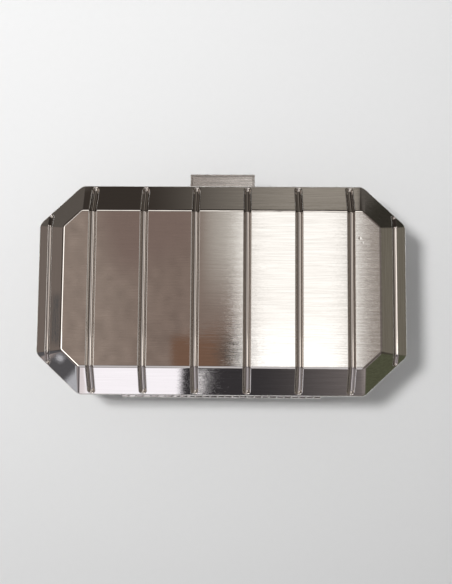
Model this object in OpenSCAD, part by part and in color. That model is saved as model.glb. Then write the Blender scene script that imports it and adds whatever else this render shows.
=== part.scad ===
// Hard evening clutch: two pressed metal halves, a piano hinge and a sprung clasp bar.
// The closed case lies on its back. X runs along the hinge, Y points to the clasp
// and Z points out of the front panel. The origin is the centre of the back panel's
// outer face.

/* [Case] */
// Length of the case along the hinge
case_l = 191; // [170:1:220]
// Height of the case from its hinge side to its clasp side
case_h = 109; // [100:1:130]
// Thickness of the closed case
case_t = 42; // [41:0.5:56]
// Length of each cut corner along X
corner_x = 22; // [18:0.5:24]
// Length of each cut corner along Y
corner_y = 20.5; // [17:0.5:23]
// Width of the bevel, seen from the front
bevel_w = 14.5; // [11:0.5:15]
// Height of the bevel
bevel_h = 8.2; // [7:0.2:8.6]
// Length along X of the flat panel's own cut corners
panel_corner = 9; // [7:0.5:11]
// Thickness of the sheet metal
sheet = 0.9; // [0.7:0.05:1]
// Gap between the two halves at the seam
seam_gap = 0.2; // [0.1:0.05:0.3]

/* [Grooves] */
// Number of grooves across the panel
groove_n = 6; // [4:2:6]
// Distance from the panel's corner to the nearest groove
groove_margin = 5.8; // [4:0.2:8]
// Width of a groove at the surface
groove_w = 4.4; // [3.4:0.1:5]
// Depth of a groove
groove_d = 1.5; // [1:0.1:1.6]
// Land between a groove's end and the edge of the case
groove_land = 0.8; // [0.6:0.1:2.4]
// Distance from the end of the case to the side groove's middle
side_groove_in = 6.5; // [5.4:0.1:7]
// Width of a side groove at the surface
side_groove_w = 3.2; // [2.6:0.1:4.4]
// Depth of a side groove
side_groove_d = 1.1; // [0.8:0.1:1.3]

/* [Rims] */
// Thickness of the rim strips
rim_t = 0.8; // [0.6:0.05:1]
// Height of each rim strip inside its own half
rim_h = 6; // [4:0.5:7]
// Height of the back rim's lip, which enters the front half
lip_h = 1.8; // [1.4:0.1:3]
// Clearance between the lip and the front half
lip_gap = 0.2; // [0.15:0.05:0.3]

/* [Hinge] */
// Length of the hinge
hinge_l = 105.2; // [90:0.2:120]
// Number of knuckles on both leaves together
knuckle_n = 27; // [19:2:29]
// Clearance between neighbouring knuckles
knuckle_gap = 0.14; // [0.1:0.02:0.2]
// Distance of the hinge axis outside the wall
hinge_out = 0.15; // [0.1:0.05:0.6]
// Thickness of a hinge leaf
leaf_t = 0.6; // [0.5:0.05:0.7]
// Height of a hinge leaf from the seam
leaf_h = 8; // [7:0.5:10]
// Radius of the hinge pin
pin_r = 0.7; // [0.6:0.05:0.75]
// Radial clearance of the hinge pin
pin_gap = 0.05; // [0.03:0.01:0.08]
// Angle at which the hinge's stop teeth meet
open_angle = 100; // [80:1:110]
// Number of rivets in each hinge leaf
leaf_rivet_n = 6; // [4:1:8]

/* [Clasp] */
// Length of the clasp bar
bar_l = 34.5; // [30:0.5:36]
// Thickness of the clasp bar, front to back
bar_d = 9; // [8:0.2:9.4]
// Height of the clasp bar above the case
bar_h = 8.3; // [6:0.1:10]
// Chamfer along the clasp bar's edges
bar_chamfer = 0.5; // [0.2:0.05:0.8]
// Clearance between the clasp bar and its slot
bar_gap = 0.2; // [0.15:0.05:0.3]
// Travel of the clasp bar when it is pressed
bar_travel = 2; // [1.4:0.1:2.1]
// Thickness of the plate under the clasp bar
plate_t = 1.2; // [1:0.1:1.4]
// Radius of the guide stems
stem_r = 1.5; // [1.2:0.1:1.6]
// Thickness of the bracket and the keeper
bracket_t = 1; // [0.8:0.05:1.1]
// Thickness of the catch spring
catch_t = 0.4; // [0.3:0.05:0.5]
// Depth by which the hook and the keeper's nose engage
catch_grip = 0.8; // [0.6:0.05:1]
// Diameter of the return springs' wire
wire_d = 0.5; // [0.4:0.05:0.6]
// Number of turns in a return spring
wire_turns = 5; // [4:1:5]

/* [Lining] */
// Thickness of the stiffening boards
board_t = 1; // [0.8:0.1:1.6]
// Thickness of the lining
lining_t = 0.8; // [0.6:0.1:1.2]
// Length of the slip pocket
pocket_l = 118; // [90:1:124]
// Height of the slip pocket
pocket_h = 52; // [40:1:64]
// Thickness of the slip pocket's cloth
pocket_t = 0.7; // [0.5:0.1:1]

/* [Hidden] */

// Overrun of a cut past the surface that it leaves
over = 1;
// Thickness of the slab that stands for a flat face inside a hull
slab = 0.01;
// Facets of round solids
round_fn = 48;

// Places of the case's faces
half_l = case_l / 2;
half_h = case_h / 2;
seam_z = case_t / 2;
shell_top = seam_z - seam_gap / 2;
wall_y = half_h - sheet;
bevel_a = atan(bevel_h / bevel_w);

// The flat panel
panel_x = half_l - bevel_w;
panel_y = half_h - bevel_w;
panel_corner_y = panel_corner * corner_y / corner_x;

// The bevel at the cut corners
corner_l = norm([corner_x, corner_y]);
corner_out_x = corner_y / corner_l;
corner_out_y = corner_x / corner_l;
corner_run = corner_out_x * (bevel_w - corner_x + panel_corner) + corner_out_y * bevel_w;
corner_a = atan(bevel_h / corner_run);

// Grooves are arcs of a circle whose centre lies outside the metal
groove_r = groove_radius(groove_w, groove_d);
side_groove_r = groove_radius(side_groove_w, side_groove_d);
// A groove's next stretch and its round end are each this much larger in radius
groove_swell = 0.03;
groove_c = groove_r - groove_d;
side_groove_c = side_groove_r - side_groove_d;
groove_span = 2 * (panel_x - panel_corner - groove_margin);
groove_pitch = groove_span / (groove_n - 1);
side_x = half_l - side_groove_in;

// Hinge
hinge_y = -(half_h + hinge_out);
knuckle_swell = 0.05;
knuckle_r = hinge_out + sheet + leaf_t + knuckle_swell;
knuckle_clear = 0.25;
knuckle_pitch = hinge_l / knuckle_n;
hinge_end_gap = 0.4;
leaf_z0 = knuckle_r + knuckle_clear;
stop_l = 1.2;
stop_skin = 0.42;
stop_gap = 0.08;
stop_from = 60;
stop_tooth = 38;
stop_slack = 1.5;
sector_steps = 6;

// Rivets are flush with the outer face and headed inside
rivet_r = 0.8;
rivet_fit = 0.03;
rivet_head_r = 1.4;
rivet_head_h = 0.45;
leaf_rivet_z = seam_z - (leaf_z0 + leaf_h) / 2;

// Clasp bar and the plate under it
bar_z0 = seam_z - bar_d / 2;
bar_z1 = seam_z + bar_d / 2;
seat_gap = 0.05;
plate_over = 2;
plate_foot = 3;
plate_y1 = wall_y - seat_gap;
plate_y0 = plate_y1 - plate_t;
plate_z0 = bar_z0 - plate_foot;
plate_z1 = seam_z - 2.5 * bar_gap;
pad_x = 8;
pad_l = 3;
stem_in = 1;
stem_x = bar_l / 2 - stem_in;
stem_z = (plate_z0 + plate_z1) / 2;
stem_fit = 0.1;
screw_x = (pad_x + stem_x) / 2;
screw_up = 1.9;
screw_z = bar_z0 + screw_up;
screw_l = 4;

// Catch: the tongue hangs beyond the reach of the pressed plate
part_gap = 0.35;
tongue_y1 = plate_y0 - bar_travel - part_gap;
tongue_y0 = tongue_y1 - bracket_t;
tongue_l = 10;
nose_y = 1;
catch_gap = 0.15;
catch_free = 0.6;
hook_y1 = tongue_y0 - nose_y + catch_grip;
catch_y1 = tongue_y0 - nose_y - catch_free;
catch_y0 = catch_y1 - catch_t;
catch_l = 2 * (pad_x + pad_l);
nose_drop = 2.2;
nose_z = seam_z - nose_drop;
nose_h = 0.5;
nose_slope = 1.4;
hook_z = nose_z + catch_gap;
pad_gap = 0.3;

// Bracket inside the back half
ear_y1 = catch_y0 - pad_gap;
ear_y0 = ear_y1 - bracket_t;
ear_l = 6;
ear_drop = 0.9;
ear_top = plate_z1 - ear_drop;
shelf_drop = 1.1;
shelf_z1 = plate_z0 - shelf_drop;
shelf_z0 = shelf_z1 - bracket_t;
tab_l = 6;
tab_h = 7;
// Heights of a tab's two rivets
tab_rivet_shares = [0.28, 0.76];
tab_x = bar_l / 2 + plate_over + part_gap + tab_l / 2;
bracket_x = tab_x + tab_l / 2;
stem_tail = 0.6;
stem_y0 = ear_y0 - stem_tail;

// Keeper inside the front half
keeper_l = 18;
keeper_rise = 1.1;
keeper_z0 = bar_z1 + keeper_rise;
keeper_h = 6;
keeper_edge = 1.6;
keeper_rivet_x = keeper_l / 2 - rivet_head_r - keeper_edge;
keeper_rivet_z = keeper_z0 + bracket_t + (keeper_h - bracket_t) / 2;

// Return springs
spring_clear = 0.15;
spring_r = stem_r + spring_clear + wire_d / 2;
spring_seat = 0.05;
spring_y0 = ear_y1 + spring_seat + wire_d / 2;
spring_y1 = plate_y0 - spring_seat - wire_d / 2;
spring_pitch = (spring_y1 - spring_y0) / wire_turns;
spring_sides = 6;
spring_steps = 12;

// Lining and boards
layer_gap = 0.05;
board_z0 = sheet + groove_d + layer_gap;
board_in = 1.2;
lining_z0 = board_z0 + board_t + layer_gap;
lining_gap = 0.4;
// The lining clears the back rim's lip while the front half swings
lip_swing = norm([hinge_out + sheet + rim_t, lip_h]) - hinge_out;
lining_in = max(sheet + max(rim_t, leaf_t + rivet_head_h) + lining_gap, lip_swing + part_gap);
lining_drop = 0.8;
lining_top = seam_z - lining_drop;
recess_gap = 0.6;
pocket_foot = 4;
pocket_corner = 6;

nickel = "#a69c93";
bright_nickel = "#c9c2ba";
steel = "#8f9294";
cloth = "#3a3338";
card = "#6b6259";

echo(least_gap_in_return_spring = min([for (t = [0:spring_steps])
    norm(spring_point(t + spring_steps) - spring_point(t)) - wire_d]));

// Eight-sided outline with cut corners
function octagon(x, y, cx, cy) = [
    [x - cx, y], [x, y - cy], [x, cy - y], [x - cx, -y],
    [cx - x, -y], [-x, cy - y], [-x, y - cy], [cx - x, y]
];

// The same outline moved inwards by d on all eight sides
function inset_octagon(x, y, cx, cy, d) = octagon(
    x - d, y - d,
    cx - d * (1 - (norm([cx, cy]) - cx) / cy),
    cy - d * (1 - (norm([cx, cy]) - cy) / cx)
);

function case_outline(d) = inset_octagon(half_l, half_h, corner_x, corner_y, d);
function panel_outline(d) = inset_octagon(panel_x, panel_y, panel_corner, panel_corner_y, d);

// Height at which a wall moved in by wall_in meets a bevel moved in by face_in
function bevel_top(wall_in, face_in) = (bevel_w - wall_in) * tan(bevel_a) + face_in / cos(bevel_a);

// Radius of an arc that is w wide and d deep
function groove_radius(w, d) = (pow(w / 2, 2) + pow(d, 2)) / (2 * d);

function arc(r, from, to, steps) = [
    for (i = [0:steps]) let (a = from + (to - from) * i / steps) [r * cos(a), r * sin(a)]
];

// Point i along a return spring's middle line, which winds round the Y axis
function spring_point(i) = let (a = 360 * i / spring_steps)
    [spring_r * cos(a), spring_y0 + spring_pitch * i / spring_steps, spring_r * sin(a)];

function spring_ring(i) = let (a = 360 * i / spring_steps, out = [cos(a), 0, sin(a)])
    [for (k = [0:spring_sides - 1]) let (b = 360 * k / spring_sides)
        spring_point(i) + wire_d / 2 * (cos(b) * out + sin(b) * [0, 1, 0])];

// Turns something built for the back half into the front half's
module front_half() {
    translate([0, 0, case_t])
        mirror([0, 0, 1])
            children();
}

// Box between two corners
module box(low, high) {
    translate(low)
        cube(high - low);
}

// Box that is centred on X
module centred_box(l, y0, y1, z0, z1) {
    box([-l / 2, y0, z0], [l / 2, y1, z1]);
}

// Round rod between two points
module rod(from, to, r) {
    run = to - from;
    translate(from)
        rotate([0, acos(run[2] / norm(run)), atan2(run[1], run[0])])
            cylinder(h = norm(run), r = r, $fn = round_fn);
}

// Solid with the case's bevelled face, its sides moved in by the two distances
module case_block(wall_in, face_in, top) {
    start = bevel_top(wall_in, face_in);
    hull() {
        translate([0, 0, face_in])
            linear_extrude(slab)
                polygon(panel_outline(face_in * tan(bevel_a / 2)));
        translate([0, 0, start])
            linear_extrude(top - start)
                polygon(case_outline(wall_in));
    }
}

// Groove across the panel and down both long bevels
module panel_groove(x, r) {
    reach = panel_y + groove_d / tan(bevel_a) + sheet;
    rod([x, -reach, -groove_c], [x, reach, -groove_c], r);
    foot = (bevel_w - groove_land) / cos(bevel_a) - groove_w / 2;
    for (side = [-1, 1]) {
        crest = [x, side * (panel_y + sin(bevel_a) * groove_c), -cos(bevel_a) * groove_c];
        run = [0, side * cos(bevel_a), sin(bevel_a)];
        rod(crest - run * groove_w / 2, crest + run * foot, r + groove_swell);
        translate(crest + run * foot)
            sphere(r = r + 2 * groove_swell, $fn = round_fn);
    }
}

// Groove along a short bevel and onto the two corner bevels beside it
module side_groove(side, r) {
    height = (side_x - panel_x) * tan(bevel_a);
    inward = side_groove_in / bevel_w;
    crease_y = (half_h - corner_y) * (1 - inward) + (panel_y - panel_corner_y) * inward;
    centre_x = side * (side_x + sin(bevel_a) * side_groove_c);
    centre_z = height - cos(bevel_a) * side_groove_c;
    reach = crease_y + side_groove_w / 2;
    rod([centre_x, -reach, centre_z], [centre_x, reach, centre_z], r);
    edge_y = half_h - (side_x - half_l + corner_x) * corner_y / corner_x;
    end_y = edge_y - (groove_land + side_groove_w / 2) / corner_out_y;
    climb = corner_out_y * tan(corner_a);
    for (end = [-1, 1]) {
        out = side_groove_c * [
            side * corner_out_x * sin(corner_a),
            end * corner_out_y * sin(corner_a),
            -cos(corner_a)
        ];
        start = [side * side_x, end * crease_y, height] + out;
        finish = [side * side_x, end * end_y, height + (end_y - crease_y) * climb] + out;
        rod(start, finish, r + groove_swell);
        for (ball = [start, finish])
            translate(ball)
                sphere(r = r + 2 * groove_swell, $fn = round_fn);
    }
}

// All the grooves, each grown all round by the given distance
module grooves(grown) {
    for (i = [0:groove_n - 1])
        panel_groove(-groove_span / 2 + i * groove_pitch, groove_r + grown);
    for (side = [-1, 1])
        side_groove(side, side_groove_r + grown);
}

// Rivet through the clasp wall: flush outside, headed inside
module wall_rivet(x, z, grip) {
    rod([x, half_h - grip, z], [x, half_h, z], rivet_r);
    rod([x, half_h - grip - rivet_head_h, z], [x, half_h - grip, z], rivet_head_r);
}

module wall_rivet_hole(x, z) {
    rod([x, wall_y - plate_t - over, z], [x, half_h + over, z], rivet_r + rivet_fit);
}

module at_leaf_rivets() {
    for (i = [0:leaf_rivet_n - 1])
        translate([((i + 0.5) / leaf_rivet_n - 0.5) * hinge_l, 0, leaf_rivet_z])
            mirror([0, 1, 0])
                children();
}

module at_bracket_rivets() {
    for (side = [-1, 1])
        for (height_share = tab_rivet_shares)
            translate([side * tab_x, 0, shelf_z1 + tab_h * height_share])
                children();
}

module at_keeper_rivets() {
    for (side = [-1, 1])
        translate([side * keeper_rivet_x, 0, keeper_rivet_z])
            children();
}

// Pressed half of the case, with room for the hinge and half of the clasp slot
module pressed_half() {
    difference() {
        case_block(0, 0, shell_top);
        difference() {
            case_block(sheet, sheet, shell_top + over);
            grooves(sheet);
        }
        grooves(0);
        centred_box(hinge_l + 2 * hinge_end_gap, -half_h - over, -wall_y + over,
            seam_z - leaf_z0, seam_z);
        centred_box(bar_l + 2 * bar_gap, wall_y - over, half_h + over, bar_z0 - bar_gap, seam_z);
        at_leaf_rivets()
            wall_rivet_hole(0, 0);
    }
}

module back_shell() {
    color(nickel)
        difference() {
            pressed_half();
            at_bracket_rivets()
                wall_rivet_hole(0, 0);
        }
}

module front_shell() {
    color(nickel)
        difference() {
            front_half()
                pressed_half();
            at_keeper_rivets()
                wall_rivet_hole(0, 0);
        }
}

// Eight-sided strip against the inside of the wall
module rim_strip(z0, z1, wall_in) {
    translate([0, 0, z0])
        linear_extrude(z1 - z0)
            difference() {
                polygon(case_outline(wall_in));
                polygon(case_outline(sheet + rim_t));
            }
}

module rim_gaps(clasp_l) {
    centred_box(hinge_l + 2 * hinge_end_gap, -half_h, -wall_y + rim_t + over,
        seam_z - leaf_h - rim_h, seam_z + leaf_h);
    centred_box(clasp_l, wall_y - rim_t - over, half_h, seam_z - leaf_h - rim_h, seam_z + leaf_h);
}

module back_rim() {
    color(bright_nickel)
        difference() {
            union() {
                rim_strip(seam_z - rim_h, shell_top, sheet);
                rim_strip(shell_top - lip_gap, seam_z + lip_h, sheet + lip_gap);
            }
            rim_gaps(2 * (bracket_x + part_gap));
        }
}

module front_rim() {
    color(bright_nickel)
        difference() {
            front_half()
                rim_strip(seam_z - lip_h - rim_h, seam_z - lip_h - lip_gap, sheet);
            front_half()
                rim_gaps(bar_l + 2 * bar_gap + 2 * part_gap);
        }
}

// Part of a disc round the hinge axis, between two angles measured from Y towards Z
module hinge_sector(r, from, to, x0, x1) {
    translate([x0, hinge_y, seam_z])
        rotate([90, 0, 90])
            linear_extrude(x1 - x0)
                polygon(concat([[0, 0]], arc(r, from, to, sector_steps)));
}

// Ring part round the pin, between two angles
module stop_solid(r0, r1, from, to, x0, x1) {
    difference() {
        intersection() {
            rod([x0, hinge_y, seam_z], [x1, hinge_y, seam_z], r1);
            hinge_sector(2 * knuckle_r, from, to, x0 - over, x1 + over);
        }
        rod([x0 - over, hinge_y, seam_z], [x1 + over, hinge_y, seam_z], r0);
    }
}

// Stop teeth run from the front leaf's end knuckles into pockets in the back leaf's
module stop_teeth() {
    root_x = hinge_l / 2 - knuckle_pitch - knuckle_gap;
    tip_x = hinge_l / 2 - knuckle_pitch + knuckle_gap / 2 + stop_l;
    for (end = [0, 1])
        mirror([end, 0, 0])
            stop_solid(pin_r + 2 * pin_gap, knuckle_r - stop_skin - stop_gap,
                stop_from, stop_from + stop_tooth, root_x, tip_x);
}

module stop_pockets() {
    near_x = hinge_l / 2 - knuckle_pitch - knuckle_gap / 2;
    far_x = hinge_l / 2 - knuckle_pitch + knuckle_gap / 2 + stop_l + knuckle_gap;
    for (end = [0, 1])
        mirror([end, 0, 0])
            stop_solid(pin_r, knuckle_r - stop_skin, stop_from - stop_slack,
                stop_from + stop_tooth + open_angle + stop_slack, near_x, far_x);
}

// Hinge leaf with every second knuckle, built for the back half
module hinge_leaf(first) {
    difference() {
        union() {
            for (i = [first:2:knuckle_n - 1]) {
                x0 = -hinge_l / 2 + i * knuckle_pitch + knuckle_gap / 2;
                x1 = x0 + knuckle_pitch - knuckle_gap;
                rod([x0, hinge_y, seam_z], [x1, hinge_y, seam_z], knuckle_r);
                box([x0, -wall_y, seam_z - leaf_z0 - over], [x1, -wall_y + leaf_t, seam_z]);
            }
            centred_box(hinge_l, -wall_y, -wall_y + leaf_t, seam_z - leaf_h, seam_z - leaf_z0);
        }
        rod([-hinge_l / 2 - over, hinge_y, seam_z], [hinge_l / 2 + over, hinge_y, seam_z],
            pin_r + pin_gap);
        at_leaf_rivets()
            wall_rivet_hole(0, 0);
    }
}

module hinge_leaf_back() {
    color(bright_nickel)
        difference() {
            hinge_leaf(0);
            stop_pockets();
        }
}

module hinge_leaf_front() {
    color(bright_nickel)
        union() {
            front_half()
                hinge_leaf(1);
            stop_teeth();
        }
}

module hinge_pin() {
    color(steel)
        rod([-hinge_l / 2, hinge_y, seam_z], [hinge_l / 2, hinge_y, seam_z], pin_r);
}

module hinge_rivets_back() {
    color(bright_nickel)
        at_leaf_rivets()
            wall_rivet(0, 0, sheet + leaf_t);
}

module hinge_rivets_front() {
    color(bright_nickel)
        front_half()
            at_leaf_rivets()
                wall_rivet(0, 0, sheet + leaf_t);
}

// Rectangle with its four corners cut by c
function cut_rectangle(x0, x1, y0, y1, c) = [
    [x0 + c, y0], [x1 - c, y0], [x1, y0 + c], [x1, y1 - c],
    [x1 - c, y1], [x0 + c, y1], [x0, y1 - c], [x0, y0 + c]
];

// Clasp bar: a block with a fine chamfer on every edge
module thumb_bar() {
    x = bar_l / 2;
    y1 = half_h + bar_h;
    color(nickel)
        difference() {
            intersection() {
                translate([0, 0, bar_z0])
                    linear_extrude(bar_d)
                        polygon(cut_rectangle(-x, x, plate_y1, y1, bar_chamfer));
                translate([-x, 0, 0])
                    rotate([90, 0, 90])
                        linear_extrude(bar_l)
                            polygon(cut_rectangle(plate_y1, y1, bar_z0, bar_z1, bar_chamfer));
                translate([0, y1, 0])
                    rotate([90, 0, 0])
                        linear_extrude(y1 - plate_y1)
                            polygon(cut_rectangle(-x, x, bar_z0, bar_z1, bar_chamfer));
            }
            for (side = [-1, 1])
                rod([side * screw_x, plate_y1 - over, screw_z],
                    [side * screw_x, plate_y1 + screw_l + rivet_head_h, screw_z],
                    rivet_r + rivet_fit);
        }
}

// Plate that holds the bar in, and whose two pads push the catch spring
module pusher_plate() {
    l = bar_l + 2 * plate_over;
    color(steel)
        difference() {
            union() {
                centred_box(l, plate_y0, plate_y1, plate_z0, plate_z1);
                for (side = [-1, 1])
                    translate([side * pad_x, 0, 0])
                        centred_box(pad_l, catch_y1 + pad_gap, plate_y1,
                            stem_z - plate_t / 2, stem_z + plate_t / 2);
            }
            for (side = [-1, 1]) {
                rod([side * stem_x, plate_y0 - over, stem_z],
                    [side * stem_x, plate_y1 + over, stem_z], stem_r + rivet_fit);
                rod([side * screw_x, plate_y0 - over, screw_z],
                    [side * screw_x, plate_y1 + over, screw_z], rivet_r + rivet_fit);
                rod([side * screw_x, plate_y0 - over, screw_z],
                    [side * screw_x, plate_y0 + rivet_head_h, screw_z], rivet_head_r + rivet_fit);
            }
        }
}

module bar_screws() {
    color(steel)
        for (side = [-1, 1]) {
            rod([side * screw_x, plate_y0, screw_z],
                [side * screw_x, plate_y0 + rivet_head_h, screw_z], rivet_head_r);
            rod([side * screw_x, plate_y0 + rivet_head_h, screw_z],
                [side * screw_x, plate_y1 + screw_l, screw_z], rivet_r);
        }
}

module guide_stems() {
    color(steel)
        for (side = [-1, 1])
            rod([side * stem_x, stem_y0, stem_z], [side * stem_x, plate_y1, stem_z], stem_r);
}

// Coil springs round the stems, each one unbroken tube
module return_springs() {
    rings = wire_turns * spring_steps;
    n = spring_sides;
    faces = concat(
        [[for (k = [0:n - 1]) k]],
        [[for (k = [n - 1:-1:0]) rings * n + k]],
        [for (i = [0:rings - 1], k = [0:n - 1])
            [i * n + k, (i + 1) * n + k, (i + 1) * n + (k + 1) % n]],
        [for (i = [0:rings - 1], k = [0:n - 1])
            [i * n + k, (i + 1) * n + (k + 1) % n, i * n + (k + 1) % n]]
    );
    color(steel)
        for (side = [-1, 1])
            translate([side * stem_x, 0, stem_z])
                polyhedron([for (i = [0:rings]) each spring_ring(i)], faces, convexity = 10);
}

// Bracket on the back half's clasp wall: a shelf, two riveted tabs and two drilled ears
module clasp_bracket() {
    color(bright_nickel)
        difference() {
            union() {
                centred_box(2 * bracket_x, ear_y0, wall_y, shelf_z0, shelf_z1);
                for (side = [-1, 1]) {
                    translate([side * tab_x, 0, 0])
                        centred_box(tab_l, wall_y - bracket_t, wall_y, shelf_z0, shelf_z1 + tab_h);
                    translate([side * stem_x, 0, 0])
                        centred_box(ear_l, ear_y0, ear_y1, shelf_z0, ear_top);
                }
            }
            for (side = [-1, 1])
                rod([side * stem_x, ear_y0 - over, stem_z], [side * stem_x, ear_y1 + over, stem_z],
                    stem_r + stem_fit);
            at_bracket_rivets()
                wall_rivet_hole(0, 0);
            at_catch_rivets()
                rod([0, 0, shelf_z0 - over], [0, 0, shelf_z1 + over], rivet_r + rivet_fit);
        }
}

module bracket_rivets() {
    color(bright_nickel)
        at_bracket_rivets()
            wall_rivet(0, 0, sheet + bracket_t);
}

module at_catch_rivets() {
    for (side = [-1, 1])
        translate([side * pad_x, (catch_y0 + wall_y) / 2, 0])
            children();
}

// Leaf spring on the shelf, with a hook that the keeper's nose snaps under
module catch_spring() {
    foot_y = (catch_y0 + wall_y) / 2 + 2 * rivet_head_r;
    color(steel)
        difference() {
            union() {
                centred_box(catch_l, catch_y0, foot_y, shelf_z1, shelf_z1 + catch_t);
                centred_box(catch_l, catch_y0, catch_y1, shelf_z1, stem_z + plate_t);
                centred_box(tongue_l, catch_y0, catch_y1, shelf_z1, hook_z + nose_slope);
                translate([-tongue_l / 2, 0, 0])
                    rotate([90, 0, 90])
                        linear_extrude(tongue_l)
                            polygon([
                                [catch_y0, hook_z], [hook_y1, hook_z],
                                [hook_y1, hook_z + catch_t / 2], [catch_y0, hook_z + nose_slope]
                            ]);
            }
            at_catch_rivets()
                rod([0, 0, shelf_z1 - over], [0, 0, shelf_z1 + catch_t + over],
                    rivet_r + rivet_fit);
        }
}

module catch_rivets() {
    color(bright_nickel)
        at_catch_rivets() {
            rod([0, 0, shelf_z0], [0, 0, shelf_z1 + catch_t], rivet_r);
            rod([0, 0, shelf_z1 + catch_t], [0, 0, shelf_z1 + catch_t + rivet_head_h],
                rivet_head_r);
        }
}

// Bent plate on the front half's clasp wall, whose tongue reaches the hook
module keeper() {
    color(bright_nickel)
        difference() {
            union() {
                centred_box(keeper_l, wall_y - bracket_t, wall_y, keeper_z0, keeper_z0 + keeper_h);
                centred_box(keeper_l, tongue_y0, wall_y, keeper_z0, keeper_z0 + bracket_t);
                centred_box(tongue_l, tongue_y0, tongue_y1, nose_z - nose_h, keeper_z0 + bracket_t);
                translate([-tongue_l / 2, 0, 0])
                    rotate([90, 0, 90])
                        linear_extrude(tongue_l)
                            polygon([
                                [tongue_y1, nose_z], [tongue_y0 - nose_y, nose_z],
                                [tongue_y0 - nose_y, nose_z - nose_h],
                                [tongue_y0, nose_z - nose_h - nose_slope],
                                [tongue_y1, nose_z - nose_h - nose_slope]
                            ]);
            }
            at_keeper_rivets()
                wall_rivet_hole(0, 0);
        }
}

module keeper_rivets() {
    color(bright_nickel)
        at_keeper_rivets()
            wall_rivet(0, 0, sheet + bracket_t);
}

// Card behind the lining, lying on the grooves' ridges
module board() {
    color(card)
        translate([0, 0, board_z0])
            linear_extrude(board_t)
                polygon(panel_outline(board_in));
}

module back_board() {
    board();
}

module front_board() {
    front_half()
        board();
}

// Lining tray, with a boxed recess round the clasp's parts
module lining_tray(recess_x, recess_y, recess_z) {
    color(cloth)
        difference() {
            case_block(lining_in, lining_z0, lining_top);
            difference() {
                case_block(lining_in + lining_t, lining_z0 + lining_t, lining_top + over);
                centred_box(2 * (recess_x + lining_t), recess_y - lining_t, half_h,
                    recess_z - lining_t, lining_top + over);
            }
            centred_box(2 * recess_x, recess_y, half_h, recess_z, lining_top + over);
        }
}

module back_lining() {
    lining_tray(bracket_x + recess_gap, stem_y0 - bar_travel - recess_gap, shelf_z0 - recess_gap);
}

module front_lining() {
    front_half()
        lining_tray(bar_l / 2 + plate_over, tongue_y0 - nose_y - recess_gap,
            case_t - keeper_z0 - keeper_h - recess_gap);
}

// Flat pocket on the front half's lining, open towards the clasp
module slip_pocket() {
    x = pocket_l / 2;
    y0 = -panel_y + pocket_foot;
    color(cloth)
        front_half()
            translate([0, 0, lining_z0 + lining_t + layer_gap])
                linear_extrude(pocket_t)
                    polygon([
                        [pocket_corner - x, y0], [x - pocket_corner, y0], [x, y0 + pocket_corner],
                        [x, y0 + pocket_h], [-x, y0 + pocket_h], [-x, y0 + pocket_corner]
                    ]);
}

back_shell();
front_shell();
back_rim();
front_rim();
hinge_leaf_back();
hinge_leaf_front();
hinge_pin();
hinge_rivets_back();
hinge_rivets_front();
thumb_bar();
pusher_plate();
bar_screws();
guide_stems();
return_springs();
clasp_bracket();
bracket_rivets();
catch_spring();
catch_rivets();
keeper();
keeper_rivets();
back_board();
front_board();
back_lining();
front_lining();
slip_pocket();
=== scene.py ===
import bpy
import bmesh
from math import atan, atan2, ceil, cos, hypot, pi, radians, sin, sqrt, tan
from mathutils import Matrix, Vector


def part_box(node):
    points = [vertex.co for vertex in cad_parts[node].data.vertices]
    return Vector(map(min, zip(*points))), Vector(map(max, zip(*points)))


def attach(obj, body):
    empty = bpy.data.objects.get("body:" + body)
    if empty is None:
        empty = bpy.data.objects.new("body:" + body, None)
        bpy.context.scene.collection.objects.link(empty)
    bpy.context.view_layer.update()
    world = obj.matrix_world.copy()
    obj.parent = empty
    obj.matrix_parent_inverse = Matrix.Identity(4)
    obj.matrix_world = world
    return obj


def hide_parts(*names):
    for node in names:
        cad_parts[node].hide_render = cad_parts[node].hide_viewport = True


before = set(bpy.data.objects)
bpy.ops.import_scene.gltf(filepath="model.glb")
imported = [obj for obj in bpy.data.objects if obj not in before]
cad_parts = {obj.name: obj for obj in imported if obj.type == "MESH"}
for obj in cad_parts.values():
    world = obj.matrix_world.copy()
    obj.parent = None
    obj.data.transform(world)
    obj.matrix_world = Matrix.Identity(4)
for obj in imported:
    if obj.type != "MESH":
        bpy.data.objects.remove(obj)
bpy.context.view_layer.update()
mm = 0.001
hair = 1e-5            # places closer than this count as one
touch = 1e-7           # a cut this close to an edge follows it
cadGap, cadAngle = 2e-6, 1.5      # for merging the CAD's points and its nearly flat faces

# The case, in millimetres. Its overall size comes from the frame
case = {
    "cornerX": 22.0,       # cut corners, along X and along Y
    "cornerY": 20.5,
    "bevelWidth": 14.5,
    "bevelHeight": 8.2,
    "panelCorner": 9.0,    # the flat panel's own cut corners, along X
    "sheet": 0.9,
    "creaseSoft": 0.8,     # how far the rounding reaches: round the panel,
    "ridgeSoft": 1.5,      # between two bevels,
    "rimSoft": 0.7,        # where the bevels meet the wall
    "cornerSoft": 1.6,     # and down the wall's corners
    "openEdgeSoft": 0.14,
    "hingeRoom": (53.0, 1.95),    # half length and height of the cut-outs at the seam
    "barRoom": (17.45, 4.7),
}
groove = {
    "count": 6,
    "margin": 5.8,         # from the panel's corner to the nearest groove
    "sideIn": 6.5,         # from the end of the case to the side groove
    "bottomSteps": 10,
    "rimSteps": 4,
    "endStep": 0.22,       # cuts across a groove's round end: their distance,
    "endReach": 1.3,       # how many half widths they cover,
    "endBack": 0.2,        # and how far inside the end they begin
    "polishRise": 3,       # how soon the polish is full on the way down
    "panel": {"halfWidth": 2.2, "depth": 1.5, "rimRadius": 0.6, "endLand": 0.8},
    "side": {"halfWidth": 1.65, "depth": 1.1, "rimRadius": 0.5, "endLand": 0.5},
}


# Handling: picking, cutting and finishing by hand

def letGo():
    if bpy.context.object and bpy.context.object.mode != "OBJECT":
        bpy.ops.object.mode_set(mode="OBJECT")
    bpy.ops.object.select_all(action="DESELECT")


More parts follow.
